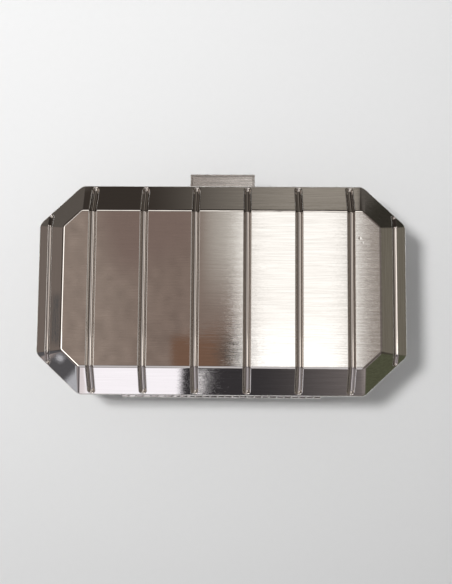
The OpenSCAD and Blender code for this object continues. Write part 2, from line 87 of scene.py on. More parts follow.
def takeUp(piece):
    letGo()
    piece.select_set(True)
    bpy.context.view_layer.objects.active = piece


def openMesh(piece):
    takeUp(piece)
    bpy.ops.object.mode_set(mode="EDIT")


def closeMesh():
    bpy.ops.object.mode_set(mode="OBJECT")


def chooseAll():
    bpy.ops.mesh.select_all(action="SELECT")


def settle():
    bpy.ops.object.transform_apply(location=True, rotation=True, scale=True)


def newBlock(name, low, high):
    letGo()
    low, high = Vector(low), Vector(high)
    bpy.ops.mesh.primitive_cube_add(size=1, location=(low + high) / 2)
    piece = bpy.context.object
    piece.name = name
    piece.scale = high - low
    settle()
    return piece


def choose(kind, passes):
    tool = bpy.context.tool_settings
    tool.mesh_select_mode = (kind == "verts", kind == "edges", kind == "faces")
    bpy.ops.mesh.select_all(action="DESELECT")
    mesh = bpy.context.edit_object.data
    chosen = [part for part in getattr(bmesh.from_edit_mesh(mesh), kind) if passes(part)]
    for part in chosen:
        part.select_set(True)
    bmesh.update_edit_mesh(mesh, loop_triangles=False, destructive=False)
    return len(chosen)


def middleOf(part):
    return part.calc_center_median()


# Whether a face looks squarely along an axis, to the side that the sign gives
def looks(part, axis, side, least=0.9):
    return part.normal[axis] * side > least


def trim(point, normal, fill=True):
    chooseAll()
    bpy.ops.mesh.bisect(plane_co=point, plane_no=normal, use_fill=fill, clear_outer=True)


# A cut across the faces that pass, without taking anything away
def score(axis, at, passes):
    normal = [float(axis == i) for i in range(3)]
    if choose("faces", passes):
        bpy.ops.mesh.bisect(plane_co=[at * share for share in normal], plane_no=normal,
                            threshold=touch)


def mergeMesh(gap, flatAngle=None):
    chooseAll()
    bpy.ops.mesh.remove_doubles(threshold=gap)
    if flatAngle:
        bpy.ops.mesh.dissolve_limited(angle_limit=radians(flatAngle))


def moveMesh(piece, way, turn=0):
    openMesh(piece)
    chooseAll()
    if turn:
        bpy.ops.transform.rotate(value=turn, orient_axis="Z", center_override=(0, 0, 0))
    bpy.ops.transform.translate(value=way)
    closeMesh()


def addModifier(piece, kind, **settings):
    takeUp(piece)
    modifier = piece.modifiers.new(kind.title(), kind)
    for name, value in settings.items():
        setattr(modifier, name, value)
    bpy.ops.object.modifier_apply(modifier=modifier.name)


def soften(piece, width, segments=3, angle=40):
    addModifier(piece, "BEVEL", width=width, segments=segments, limit_method="ANGLE",
                angle_limit=radians(angle))


def shade(piece, angle=38):
    takeUp(piece)
    bpy.ops.object.shade_smooth_by_angle(angle=radians(angle))
    addModifier(piece, "WEIGHTED_NORMAL", keep_sharp=True, weight=80)


def wear(piece, material):
    piece.data.materials.clear()
    piece.data.materials.append(material)


# A finished piece takes its material and its body, and the node that it stands for is hidden
def give(piece, look, body, node=None):
    wear(piece, finish[look])
    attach(piece, body)
    if node:
        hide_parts(node)


def joinInto(piece, others):
    takeUp(piece)
    for other in others:
        other.select_set(True)
    bpy.ops.object.join()


# Solidify marks the rims of a thickened sheet as creases, which are then rounded
def thicken(piece, thickness, reach, segments):
    addModifier(piece, "SOLIDIFY", thickness=thickness, offset=-1.0, use_even_offset=True,
                edge_crease_inner=1.0, edge_crease_outer=1.0)
    creases = [edge.value for edge in piece.data.attributes["crease_edge"].data]
    weights = piece.data.attributes.new("bevel_weight_edge", "FLOAT", "EDGE")
    weights.data.foreach_set("value", creases)
    addModifier(piece, "BEVEL", width=reach * mm, segments=segments, limit_method="WEIGHT")
    for name in ("crease_edge", "bevel_weight_edge"):
        piece.data.attributes.remove(piece.data.attributes[name])
    shade(piece)


def copyOf(piece, name):
    takeUp(piece)
    bpy.ops.object.duplicate()
    twin = bpy.context.object
    twin.name = name
    return twin


def cadCopy(node, name, flatten=True):
    source = bpy.data.objects[node]
    twin = source.copy()
    twin.data = source.data.copy()
    twin.name = name
    for key in list(twin.keys()):
        del twin[key]
    bpy.context.scene.collection.objects.link(twin)
    openMesh(twin)
    mergeMesh(cadGap, cadAngle if flatten else None)
    closeMesh()
    return twin


# Materials

def addNode(tree, kind, **settings):
    made = tree.nodes.new("ShaderNode" + kind)
    for name, value in settings.items():
        setattr(made, name, value)
    return made


def feed(tree, socket, source):
    if isinstance(source, bpy.types.NodeSocket):
        tree.links.new(source, socket)
    else:
        socket.default_value = (*source, 1.0) if socket.type == "RGBA" else source


def feedAll(tree, made, sources):
    for label, source in sources.items():
        feed(tree, made.inputs[label], source)


def doMath(tree, operation, first, second=None, third=None):
    made = addNode(tree, "Math", operation=operation)
    for socket, source in zip(made.inputs, (first, second, third)):
        if source is not None:
            feed(tree, socket, source)
    return made.outputs[0]


def remap(tree, value, fromLow, fromHigh, toLow=0.0, toHigh=1.0, smooth=False):
    kind = "SMOOTHSTEP" if smooth else "LINEAR"
    made = addNode(tree, "MapRange", interpolation_type=kind, clamp=True)
    for socket, source in zip(made.inputs, (value, fromLow, fromHigh, toLow, toHigh)):
        feed(tree, socket, source)
    return made.outputs[0]


def blendColour(tree, share, first, second, how="MIX"):
    made = addNode(tree, "Mix", data_type="RGBA", blend_type=how)
    feed(tree, made.inputs[0], share)
    feed(tree, made.inputs[6], first)
    feed(tree, made.inputs[7], second)
    return made.outputs[2]


def noiseAt(tree, place, scale, detail, roughness=0.5):
    made = addNode(tree, "TexNoise")
    feedAll(tree, made, {"Vector": place, "Scale": scale, "Detail": detail,
                         "Roughness": roughness})
    return made.outputs["Fac"]


def newGroup(name, inputs, outputs):
    tree = bpy.data.node_groups.new(name, "ShaderNodeTree")
    for label, kind in inputs.items():
        tree.interface.new_socket(name=label, in_out="INPUT", socket_type="NodeSocket" + kind)
    for label in outputs:
        tree.interface.new_socket(name=label, in_out="OUTPUT", socket_type="NodeSocketFloat")
    entry = tree.nodes.new("NodeGroupInput")
    leave = tree.nodes.new("NodeGroupOutput")
    return tree, entry.outputs, leave.inputs


def useGroup(tree, group, **sources):
    made = addNode(tree, "Group", node_tree=group)
    feedAll(tree, made, sources)
    return made.outputs


def splitAxes(tree, source):
    parts = addNode(tree, "SeparateXYZ")
    feed(tree, parts.inputs[0], source)
    return parts.outputs


brushing = {
    "turnFrom": 0.44,      # how far a face looks along X when its streaks begin to turn,
    "turnTo": 0.48,        # and when they run along Y
    "noise": {"Fine": (1.0, 4.0), "Broad": (0.42, 3.0)},      # scale and detail
    "noiseRough": 0.65,
    "between": (0.34, 0.66),    # what the noise has between these becomes 0 to 1
    "bumpStep": 0.02,      # mm
}
marking = {"scale": 38.0, "detail": 4.0, "between": (0.35, 0.68)}


# Brushing: long fine streaks along X, or along Y on the faces that look along X
def makeGrain():
    tree, given, gives = newGroup(
        "brushedGrain",
        {"Place": "Vector", "Facing": "Vector", "Along": "Float", "Across": "Float"},
        ["Fine", "Broad"])
    place = splitAxes(tree, given["Place"])
    endwise = doMath(tree, "ABSOLUTE", splitAxes(tree, given["Facing"])[0])
    turned = remap(tree, endwise, brushing["turnFrom"], brushing["turnTo"])
    runs = []
    for axes in ((0, 1, 2), (1, 0, 2)):
        run = addNode(tree, "CombineXYZ")
        for socket, axis, pace in zip(run.inputs, axes, ("Along", "Across", "Across")):
            feed(tree, socket, doMath(tree, "MULTIPLY", place[axis], given[pace]))
        runs.append(run.outputs[0])
    for label, (scale, detail) in brushing["noise"].items():
        both = addNode(tree, "Mix")
        feed(tree, both.inputs[0], turned)
        for socket, run in zip(both.inputs[2:4], runs):
            feed(tree, socket, noiseAt(tree, run, scale, detail, brushing["noiseRough"]))
        feed(tree, gives[label], remap(tree, both.outputs[0], *brushing["between"]))
    return tree


# Handling marks: soft cloudy patches
def makeSmudge():
    tree, given, gives = newGroup("handlingMarks", {"Place": "Vector"}, ["Cloud"])
    cloud = noiseAt(tree, given["Place"], marking["scale"], marking["detail"])
    feed(tree, gives["Cloud"], remap(tree, cloud, *marking["between"], smooth=True))
    return tree


def startMaterial(name):
    made = bpy.data.materials.new(name)
    made.use_nodes = True
    tree = made.node_tree
    shader = tree.nodes["Principled BSDF"]
    return made, tree, shader, addNode(tree, "TexCoord").outputs


def addBump(tree, shader, height, strength, step):
    bump = addNode(tree, "Bump")
    feedAll(tree, bump, {"Strength": strength, "Distance": step * mm, "Height": height})
    feed(tree, shader.inputs["Normal"], bump.outputs[0])


# The "polish" attribute says where a groove is: bright metal, with less brushing, and a colour
# there that is tarnish with painted shade darkening the hollow
def makeMetal(name, look, grain, smudge):
    made, tree, shader, where = startMaterial(name)
    place = where["Object"]
    streaks = useGroup(tree, grain, Place=place, Facing=where["Normal"],
                       Along=look["along"], Across=look["across"])
    marks = useGroup(tree, smudge, Place=place)
    inGroove = addNode(tree, "Attribute", attribute_name="polish").outputs["Fac"]
    dull = doMath(tree, "SUBTRACT", 1.0, inGroove)
    brushed = 1.0
    if "buffed" in look:
        start, stop, least = look["buffed"]
        brushed = remap(tree, splitAxes(tree, place)[0], start * mm, stop * mm, least, 1.0,
                        smooth=True)
        dull = doMath(tree, "MULTIPLY", dull, brushed)
    both = doMath(tree, "MULTIPLY", doMath(tree, "ADD", streaks["Broad"], streaks["Fine"]), 0.5)
    tone = doMath(tree, "MULTIPLY_ADD", doMath(tree, "SUBTRACT", both, 0.5), dull, 0.5)
    tinted = blendColour(tree, tone, look["light"], look["dark"])
    # Painted shade: a groove's colour goes darker, tarnish together with shade painted into the
    # hollow
    if "tarnishAndShade" in look:
        tinted = blendColour(tree, inGroove, tinted, look["tarnishAndShade"])
    rough = doMath(tree, "MULTIPLY_ADD", both, look["roughSwing"], look["rough"])
    rough = doMath(tree, "MULTIPLY_ADD", marks["Cloud"], look["smudge"], rough)
    rough = doMath(tree, "MULTIPLY", rough, remap(tree, inGroove, 0.0, 1.0, 1.0, look["polish"]))
    rough = doMath(tree, "MULTIPLY", rough, brushed)
    feedAll(tree, shader, {"Base Color": tinted, "Metallic": 1.0, "Roughness": rough})
    height = doMath(tree, "MULTIPLY", both, dull)
    for x, y, reach, deep in look.get("dings", []):
        away = addNode(tree, "VectorMath", operation="DISTANCE")
        feed(tree, away.inputs[0], place)
        away.inputs[1].default_value = (x * mm, y * mm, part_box("front_shell")[1].z)
        dip = remap(tree, away.outputs["Value"], 0.0, reach * mm, deep, 0.0, smooth=True)
        height = doMath(tree, "SUBTRACT", height, dip)
    addBump(tree, shader, height, look["bump"], brushing["bumpStep"])
    return made


# Metals: the streaks' two colours, and how many there are in a metre along and across. roughSwing
# and smudge are what streaks and marks add to the roughness, and polish is its share in a groove.
# buffed: between two places on X (mm) the brushing grows from this least share to the whole.
# tarnishAndShade: the colour in a groove, tarnish with painted shade that darkens the hollow.
# dings: small dents, with x, y, reach (mm) and depth in bump steps
metalLooks = {
    "brushedNickel": dict(
        light=(0.74, 0.715, 0.685), dark=(0.57, 0.545, 0.515), rough=0.03, roughSwing=0.035,
        smudge=0.015, polish=0.9, bump=0.5, along=70.0, across=2600.0, buffed=(-24, 18, 0.25),
        # the grooves' darker colour: tarnish with painted shade in the hollow
        tarnishAndShade=(0.50, 0.465, 0.435),
        dings=[(70.5, 26.0, 0.9, 4.0), (71.8, 23.6, 0.6, 3.0), (41.0, 13.0, 0.5, 2.0)]),
    "barNickel": dict(
        light=(0.80, 0.765, 0.73), dark=(0.42, 0.395, 0.37), rough=0.20, roughSwing=0.10,
        smudge=0.03, polish=0.6, bump=1.0, along=110.0, across=1500.0),
    "brightNickel": dict(
        light=(0.76, 0.73, 0.70), dark=(0.70, 0.67, 0.64), rough=0.05, roughSwing=0.05, smudge=0.04,
        polish=1.0, bump=0.1, along=90.0, across=1600.0),
    # A darker, rougher nickel for the back hinge leaf, so that its knuckles show darker than the
    # front leaf's
    "wornNickel": dict(
        light=(0.62, 0.59, 0.56), dark=(0.52, 0.49, 0.465), rough=0.09, roughSwing=0.08,
        smudge=0.05, polish=1.0, bump=0.2, along=90.0, across=1600.0),
    "plainSteel": dict(
        light=(0.60, 0.61, 0.62), dark=(0.50, 0.51, 0.52), rough=0.22, roughSwing=0.12, smudge=0.05,
        polish=1.0, bump=0.3, along=200.0, across=1800.0),
}
# Cloths: the threads' two colours, and how many there are in a metre
clothLooks = {
    "cloth": dict(
        name="liningCloth", light=(0.155, 0.142, 0.140), dark=(0.070, 0.063, 0.063), thread=3400.0),
    "hemCloth": dict(
        name="hemCloth", light=(0.185, 0.170, 0.168), dark=(0.090, 0.082, 0.082), thread=3000.0),
    "thread": dict(
        name="sewingThread", light=(0.34, 0.32, 0.31), dark=(0.22, 0.205, 0.20), thread=5200.0),
}
weave = {
    "longer": 0.35,        # their number along Y, as a share
    "detail": 2.0,
    "markShare": 0.35,     # how much of the tone comes from marks, the rest from threads
    "rough": 0.55,
    "sheen": 0.35,
    "sheenRough": 0.35,
    "bump": 0.35,
    "bumpStep": 0.1,
}
boardLook = {"light": (0.23, 0.18, 0.13), "dark": (0.15, 0.115, 0.085), "rough": 0.85,
             "fibre": (420.0, 6.0, 0.7)}


def makeCloth(look, smudge):
    made, tree, shader, where = startMaterial(look["name"])
    place = where["Object"]
    marks = useGroup(tree, smudge, Place=place)
    shift = addNode(tree, "Mapping")
    feed(tree, shift.inputs["Vector"], place)
    thread = look["thread"]
    shift.inputs["Scale"].default_value = (thread, thread * weave["longer"], thread)
    ribs = noiseAt(tree, shift.outputs[0], 1.0, weave["detail"])
    share = doMath(tree, "MULTIPLY_ADD", marks["Cloud"], weave["markShare"],
                   doMath(tree, "MULTIPLY", ribs, 1 - weave["markShare"]))
    feedAll(tree, shader, {
        "Base Color": blendColour(tree, share, look["dark"], look["light"]),
        "Roughness": weave["rough"], "Sheen Weight": weave["sheen"],
        "Sheen Roughness": weave["sheenRough"]})
    addBump(tree, shader, ribs, weave["bump"], weave["bumpStep"])
    return made


def makeBoard(name, look):
    made, tree, shader, where = startMaterial(name)
    fibre = noiseAt(tree, where["Object"], *look["fibre"])
    feedAll(tree, shader, {
        "Base Color": blendColour(tree, fibre, look["dark"], look["light"]),
        "Roughness": look["rough"]})
    return made


grain = makeGrain()
smudge = makeSmudge()
finish = {name: makeMetal(name, look, grain, smudge) for name, look in metalLooks.items()}
finish.update({name: makeCloth(look, smudge) for name, look in clothLooks.items()})
finish["board"] = makeBoard("greyBoard", boardLook)
print("materials made")


# Shells: an eight-sided block trimmed to its bevels, its creases rounded, its grooves pressed in

shellLow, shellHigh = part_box("front_shell")
halfLength = shellHigh.x
halfHeight = shellHigh.y
face = shellHigh.z
mouth = shellLow.z
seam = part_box("hinge_pin")[0].z / 2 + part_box("hinge_pin")[1].z / 2
bevelWidth = case["bevelWidth"] * mm
bevelFoot = face - case["bevelHeight"] * mm
cornerX = case["cornerX"] * mm
cornerY = case["cornerY"] * mm
panelX = halfLength - bevelWidth
panelY = halfHeight - bevelWidth
panelCornerX = case["panelCorner"] * mm
panelCornerY = panelCornerX * cornerY / cornerX
outward = Vector((cornerY, cornerX, 0)).normalized()       # the way a cut corner looks
longTilt = atan((face - bevelFoot) / bevelWidth)
cornerRun = outward.x * (bevelWidth - cornerX + panelCornerX) + outward.y * bevelWidth
cornerTilt = atan((face - bevelFoot) / cornerRun)


def octagonBlock(name, low, high, wallIn=0.0):
    block = newBlock(name, (-halfLength + wallIn, -halfHeight + wallIn, low),
                     (halfLength - wallIn, halfHeight - wallIn, high))
    openMesh(block)
    for sideX in (-1, 1):
        for sideY in (-1, 1):
            way = Vector((sideX * outward.x, sideY * outward.y, 0))
            corner = Vector((sideX * (halfLength - cornerX), sideY * halfHeight, low))
            trim(corner - way * wallIn, way)
    return block


def trimBevels(faceIn=0.0):
    up = Vector((0, 0, 1))
    for side in (-1, 1):
        planes = [(Vector((side, 0, 0)), Vector((side * halfLength, 0, bevelFoot)), longTilt),
                  (Vector((0, side, 0)), Vector((0, side * halfHeight, bevelFoot)), longTilt)]
        for other in (-1, 1):
            corner = Vector((side * (halfLength - cornerX), other * halfHeight, bevelFoot))
            planes.append((Vector((side * outward.x, other * outward.y, 0)), corner, cornerTilt))
        for way, point, tilt in planes:
            slope = way * sin(tilt) + up * cos(tilt)
            trim(point - slope * faceIn, slope)


def weighCreases(piece):
    weights = piece.data.attributes.new("bevel_weight_edge", "FLOAT", "EDGE")
    for edge in piece.data.edges:
        low, high = sorted(piece.data.vertices[i].co.z for i in edge.vertices)
        soft = 0
        if low > face - hair:
            soft = case["creaseSoft"]
        elif high > face - hair:
            soft = case["ridgeSoft"]
        elif low > bevelFoot - hair:
            soft = case["rimSoft"]
        elif high > bevelFoot - hair:
            soft = case["cornerSoft"]
        weights.data[edge.index].value = soft / case["cornerSoft"]


def foldedLine(x, foldY, foldZ, endY, endZ):
    return [Vector((x, y, z)) for y, z in ((-endY, endZ), (-foldY, foldZ),
                                           (foldY, foldZ), (endY, endZ))]


# Where the grooves run: each is a line of points on the unrounded surface
def grooveLines():
    lines = []
    span = 2 * (panelX - panelCornerX - groove["margin"] * mm)
    kind = groove["panel"]
    stop = bevelWidth / cos(longTilt) - (kind["endLand"] + kind["halfWidth"]) * mm
    endY = panelY + stop * cos(longTilt)
    endZ = face - stop * sin(longTilt)
    for i in range(groove["count"]):
        x = -span / 2 + i * span / (groove["count"] - 1)
        lines.append((kind, foldedLine(x, panelY, face, endY, endZ)))
    kind = groove["side"]
    sideX = halfLength - groove["sideIn"] * mm
    inward = groove["sideIn"] * mm / bevelWidth
    creaseY = (halfHeight - cornerY) * (1 - inward) + (panelY - panelCornerY) * inward
    creaseZ = face - (sideX - panelX) * tan(longTilt)
    edgeY = halfHeight - (sideX - halfLength + cornerX) * cornerY / cornerX
    endY = edgeY - (kind["endLand"] * mm + kind["halfWidth"] * mm * cos(cornerTilt)) / outward.y
    endZ = creaseZ - (endY - creaseY) * outward.y * tan(cornerTilt)
    for side in (-1, 1):
        lines.append((kind, foldedLine(side * sideX, creaseY, creaseZ, endY, endZ)))
    return lines


def lineDistance(point, line):
    best = 1.0
    for start, end in zip(line, line[1:]):
        run = end - start
        share = min(max((point - start).dot(run) / run.length_squared, 0), 1)
        best = min(best, (point - start - run * share).length)
    return best


# A groove's section is an arc that rolls over into a smaller one at each rim
def sectionOf(kind):
    turn = 2 * atan(kind["depth"] / kind["halfWidth"])
    return turn, kind["halfWidth"] / sin(turn) - kind["rimRadius"]


def grooveDepth(distance, kind):
    out = distance / mm
    turn, bottomRadius = sectionOf(kind)
    if out >= kind["halfWidth"]:
        return 0.0
    if out < bottomRadius * sin(turn):
        return kind["depth"] - bottomRadius + sqrt(bottomRadius ** 2 - out ** 2)
    return kind["rimRadius"] - sqrt(kind["rimRadius"] ** 2 - (kind["halfWidth"] - out) ** 2)


def grooveOffsets(kind):
    turn, bottomRadius = sectionOf(kind)
    offsets = [0.0]
    for i in range(1, groove["bottomSteps"] // 2 + 1):
        offsets.append(bottomRadius * sin(turn * i / (groove["bottomSteps"] / 2)))
    for i in range(1, groove["rimSteps"] + 1):
        angle = turn * (1 - i / groove["rimSteps"])
        offsets.append(kind["halfWidth"] - kind["rimRadius"] * sin(angle))
    return sorted({round(side * o, 5) for o in offsets for side in (-1, 1)})


def crosses(part, lowX, highX):
    values = [v.co.x for v in part.verts]
    return min(values) < highX - touch and max(values) > lowX + touch


def scoreGrooves(lines):
    rimTop = bevelFoot - case["rimSoft"] * mm
    for kind, line in lines:
        reach = kind["halfWidth"] * mm
        x = line[0].x
        endY = line[3].y
        onBand = lambda part: (crosses(part, x - reach, x + reach)
                               and middleOf(part).z > rimTop)
        for offset in [-kind["halfWidth"], kind["halfWidth"]] + grooveOffsets(kind)[1:-1]:
            score(0, x + offset * mm, onBand)
        count = ceil(groove["endReach"] * kind["halfWidth"] / groove["endStep"])
        for side in (-1, 1):
            for i in range(count + 1):
                y = side * (endY + i * groove["endStep"] * mm - groove["endBack"] * mm)
                score(1, y, lambda part: (onBand(part) and x - reach < middleOf(part).x < x + reach
                                          and middleOf(part).y * side > 0))


def pressGrooves(piece, lines):
    deepest = groove["panel"]["depth"]
    found = []
    for vertex in piece.data.vertices:
        depth = 0.0
        if vertex.co.z > bevelFoot - case["rimSoft"] * mm:
            depth = max(grooveDepth(lineDistance(vertex.co, line), kind) for kind, line in lines)
        found.append(depth / deepest)
    pressed = piece.vertex_groups.new(name="pressed")
    for index, share in enumerate(found):
        pressed.add([index], share, "REPLACE")
    addModifier(piece, "DISPLACE", vertex_group="pressed", direction="NORMAL", mid_level=0.0,
                strength=-deepest * mm)
    piece.vertex_groups.clear()
    polish = piece.data.attributes.new("polish", "FLOAT", "POINT")
    polish.data.foreach_set("value", [min(1.0, groove["polishRise"] * share) for share in found])


def cutWallRoom(side, halfRoom, height):
    top = seam + height
    onWall = lambda part: looks(part, 1, side) and middleOf(part).z < bevelFoot
    inRoom = lambda part: onWall(part) and abs(middleOf(part).x) < halfRoom
    for x in (-halfRoom, halfRoom):
        score(0, x, onWall)
    score(2, top, inRoom)
    choose("faces", lambda part: inRoom(part) and middleOf(part).z < top)
    bpy.ops.mesh.delete(type="FACE")


def makeSkin():
    skin = octagonBlock("frontShell", mouth, face)
    trimBevels()
    mergeMesh(2 * hair, 1)
    choose("faces", lambda part: looks(part, 2, -1))
    bpy.ops.mesh.delete(type="FACE")
    closeMesh()
    weighCreases(skin)
    addModifier(skin, "BEVEL", width=case["cornerSoft"] * mm, segments=5, limit_method="WEIGHT")
    skin.data.attributes.remove(skin.data.attributes["bevel_weight_edge"])
    lines = grooveLines()
    openMesh(skin)
    scoreGrooves(lines)
    closeMesh()
    pressGrooves(skin, lines)
    openMesh(skin)
    for side, (halfRoom, height) in ((-1, case["hingeRoom"]), (1, case["barRoom"])):
        cutWallRoom(side, halfRoom * mm, height * mm)
    closeMesh()
    return skin


# The back half's pieces are made as the front's and mirrored at the seam
def mirrorAtSeam(piece):
    openMesh(piece)
    chooseAll()
    bpy.ops.transform.resize(value=(1, 1, -1), center_override=(0, 0, seam))
    bpy.ops.mesh.normals_make_consistent(inside=False)
    closeMesh()


frontShell = makeSkin()
backShell = copyOf(frontShell, "backShell")
mirrorAtSeam(backShell)
for shell, node, body in ((frontShell, "front_shell", "lid"), (backShell, "back_shell", "case")):
    thicken(shell, case["sheet"] * mm, case["openEdgeSoft"], 2)
    give(shell, "brushedNickel", body, node)
print("shells made", len(frontShell.data.polygons))


# Clasp bar

bar = {
    "edgeSoft": 0.4,
    "steps": 3,
    "lineIn": 0.35,        # a fine line runs round its face, this far in from the softened edge
    "lineWidth": 0.2,
    "lineDeep": 0.12,
    "faceLeast": 0.99,     # tells the face from the softened edge's first strip
}


def makeBar():
    low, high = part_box("thumb_bar")
    piece = newBlock("claspBar", low, high)
    soften(piece, bar["edgeSoft"] * mm, bar["steps"])
    openMesh(piece)
    choose("faces", lambda part: (looks(part, 2, 1, bar["faceLeast"])
                                  and middleOf(part).z > high.z - hair))
    bpy.ops.mesh.inset(thickness=bar["lineIn"] * mm)
    for side in (-1, 1):
        bpy.ops.mesh.inset(thickness=bar["lineWidth"] * mm, depth=side * bar["lineDeep"] * mm)
    closeMesh()
    shade(piece, angle=30)
    return piece


give(makeBar(), "barNickel", "clasp", "thumb_bar")
print("clasp bar made")


# Hinge: every second knuckle belongs to the other leaf

hinge = {
    "knuckles": 27,
    "gap": 0.3,
    "endSoft": 0.42,       # rounding of each knuckle's ends
    "boreRoom": 0.05,
    "leaf": 0.6,
    "leafHeight": 8.0,
    "leafClear": 0.25,     # from the knuckles
    "fingerEnd": 0.3,      # from the pin's middle
    "leafSoft": 0.1,
    "sides": 28,
}
pinLow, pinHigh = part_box("hinge_pin")
hingeLength = pinHigh.x - pinLow.x
pinRadius = (pinHigh.z - pinLow.z) / 2
hingeY = (pinLow.y + pinHigh.y) / 2
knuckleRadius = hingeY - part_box("hinge_leaf_back")[0].y
knucklePitch = hingeLength / hinge["knuckles"]
wallY = -halfHeight + case["sheet"] * mm


def knuckleSpan(i):
    start = -hingeLength / 2 + i * knucklePitch + hinge["gap"] * mm / 2
    return start, start + knucklePitch - hinge["gap"] * mm


def makeKnuckle():
    start, end = knuckleSpan(0)
    letGo()
    bpy.ops.mesh.primitive_cylinder_add(
        vertices=hinge["sides"], radius=knuckleRadius, depth=end - start,
        location=((start + end) / 2, hingeY, seam), rotation=(0, pi / 2, 0))
    knuckle = bpy.context.object
    settle()
    openMesh(knuckle)
    choose("faces", lambda part: looks(part, 0, 1) or looks(part, 0, -1))
    bpy.ops.mesh.inset(thickness=knuckleRadius - pinRadius - hinge["boreRoom"] * mm)
    bpy.ops.mesh.delete(type="FACE")
    choose("edges", lambda part: part.is_boundary)
    bpy.ops.mesh.bridge_edge_loops()
    outer = knuckleRadius - hair
    choose("edges", lambda part: (
        abs(part.verts[0].co.x - part.verts[1].co.x) < hair
        and all(hypot(v.co.y - hingeY, v.co.z - seam) > outer for v in part.verts)))
    bpy.ops.mesh.bevel(offset=hinge["endSoft"] * mm, segments=3, affect="EDGES")
    chooseAll()
    bpy.ops.mesh.normals_make_consistent(inside=False)
    closeMesh()
    return knuckle


# The leaf lies against the wall's inside and reaches each of its knuckles with a finger
def makeLeaf(name, first, side):
    near = seam + side * (knuckleRadius + hinge["leafClear"] * mm)
    far = seam + side * hinge["leafHeight"] * mm
    leaf = newBlock(name, (-hingeLength / 2, wallY, min(near, far)),
                    (hingeLength / 2, wallY + hinge["leaf"] * mm, max(near, far)))
    openMesh(leaf)
    fingers = [knuckleSpan(i) for i in range(first, hinge["knuckles"], 2)]
    for finger in fingers:
        for x in finger:
            score(0, x, lambda part: True)
    choose("faces", lambda part: (looks(part, 2, -side)
                                  and any(a < middleOf(part).x < b for a, b in fingers)))
    end = side * hinge["fingerEnd"] * mm
    bpy.ops.mesh.extrude_region_move(TRANSFORM_OT_translate={"value": (0, 0, end - (near - seam))})
    closeMesh()
    soften(leaf, hinge["leafSoft"] * mm, segments=2, angle=60)
    return leaf


def makeHinge():
    master = makeKnuckle()
    for name, first, side, body in (("hingeBack", 0, -1, "case"), ("hingeFront", 1, 1, "lid")):
        leaf = makeLeaf(name, first, side)
        copies = []
        for i in range(first, hinge["knuckles"], 2):
            twin = copyOf(master, name + "Knuckle")
            moveMesh(twin, (i * knucklePitch, 0, 0))
            copies.append(twin)
        joinInto(leaf, copies)
        shade(leaf)
        give(leaf, "brightNickel" if side > 0 else "wornNickel", body,
             "hinge_leaf_front" if side > 0 else "hinge_leaf_back")
    bpy.data.objects.remove(master)


makeHinge()
print("hinge made")


# Small metal: copies of the frame's pieces with their edges broken

small = {
    "pin": 0.2,
    "rivetSoft": 0.25,
    "rivetProud": 0.06,    # the heads stand off the wall
    "rimSoft": 0.16,
    "lipSoft": 0.08,       # the back rim's step is narrow
    "plateSoft": 0.14,
    "leafSoft": 0.07,
    "screwSoft": 0.12,
}


def makeSmall(node, name, body, metal, reach, segments=2, angle=50, side=0):
    piece = cadCopy(node, name)
    openMesh(piece)
    if side and choose("verts", lambda part: part.co.y * side > halfHeight - hair):
        bpy.ops.transform.translate(value=(0, side * small["rivetProud"] * mm, 0))
    closeMesh()
    soften(piece, reach * mm, segments, angle)
    shade(piece)
    give(piece, metal, body, node)


# Rivets: on which side of the case their heads show
for node, name, body, side in (("hinge_rivets_back", "hingeRivetsBack", "case", -1),
                               ("hinge_rivets_front", "hingeRivetsFront", "lid", -1),
                               ("bracket_rivets", "bracketRivets", "case", 1),
                               ("keeper_rivets", "keeperRivets", "lid", 1),
                               ("catch_rivets", "catchRivets", "case", 1)):
    makeSmall(node, name, body, "brightNickel", small["rivetSoft"], segments=3, angle=60, side=side)
for node, name, body, metal, soft in (
        ("hinge_pin", "hingePin", "case", "plainSteel", "pin"),
        ("back_rim", "backRim", "case", "brightNickel", "lipSoft"),
        ("front_rim", "frontRim", "lid", "brightNickel", "rimSoft"),
        ("clasp_bracket", "claspBracket", "case", "brightNickel", "plateSoft"),
        ("keeper", "keeperPlate", "lid", "brightNickel", "plateSoft"),
        ("catch_spring", "catchSpring", "case", "plainSteel", "leafSoft"),
        ("pusher_plate", "pusherPlate", "clasp", "plainSteel", "plateSoft"),
        ("bar_screws", "barScrews", "clasp", "plainSteel", "screwSoft"),
        ("guide_stems", "guideStems", "clasp", "plainSteel", "screwSoft")):
    makeSmall(node, name, body, metal, small[soft])


def makeSprings():
    piece = cadCopy("return_springs", "returnSprings", flatten=False)
    addModifier(piece, "SUBSURF", levels=1, render_levels=1)
    shade(piece, angle=60)
    give(piece, "plainSteel", "case", "return_springs")


makeSprings()
print("small metal made")


# Linings: cloth over card, one tray in each half, with a boxed place for the clasp

lining = {
    "wallIn": 2.78,        # from the outside of the case
    "floorIn": 3.5,
    "cloth": 0.8,
    "drop": 0.8,           # from the seam
    "spare": 1.5,          # cut away at the rim once the creases are rounded
    "soft": 1.4,
    "roomSoft": 0.5,
    "edgeSoft": 0.36,
    "room": 0.6,           # how far the clasp's place stands off its parts,
    "stemRoom": 2.6,       # and off the stems' ends, which travel,
    "barRoom": 2.0,        # and off the bar's ends
    "past": 2.0,           # the cut for that place starts this far outside the tray
}


